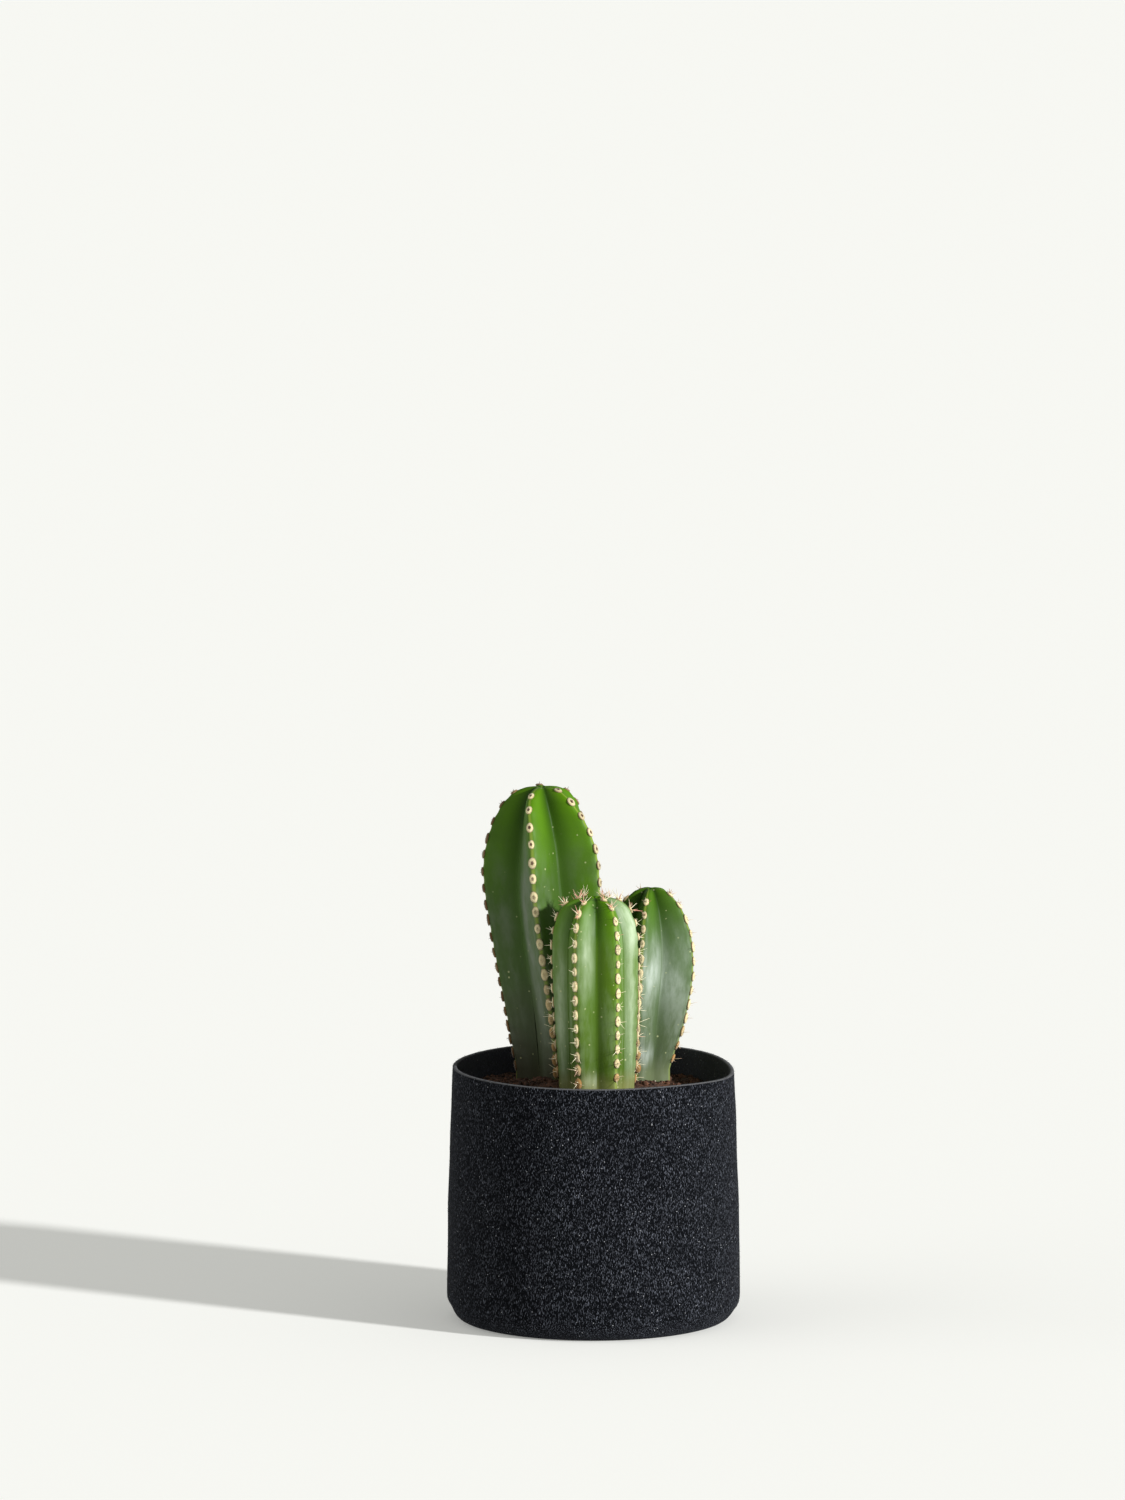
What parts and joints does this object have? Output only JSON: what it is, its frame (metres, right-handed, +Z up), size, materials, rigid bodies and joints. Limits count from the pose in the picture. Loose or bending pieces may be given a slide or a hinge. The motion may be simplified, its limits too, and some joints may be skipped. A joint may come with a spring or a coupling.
{
  "type": "potted column cactus",
  "caption": "Ribbed column cactus stems of different heights, with areoles and spines along the crests, in a round black felt pot of soil.",
  "frame": {"origin": "middle of the pot's flat base, on the surface that the pot stands on", "axes": "+Z up along the stems, -Y towards the viewer with the light green stem in front, +X to the right"},
  "size_m": [0.1516, 0.1517, 0.2739],
  "materials": {
    "felt": "soft pressed black felt with pale fibres, matt",
    "soil": "dark, loose, peaty potting soil, matt",
    "tall_stem_skin": "waxy dark green skin with cream woolly areoles",
    "front_stem_skin": "waxy light green skin with cream woolly areoles and pale spines",
    "right_stem_skin": "waxy grey-green skin with cream woolly areoles and pale spines"
  },
  "bodies": {
    "root": {"felt_pot": "felt", "soil": "soil", "tall_stem": "tall_stem_skin", "front_stem": "front_stem_skin", "right_stem": "right_stem_skin"}
  },
  "joints": []
}
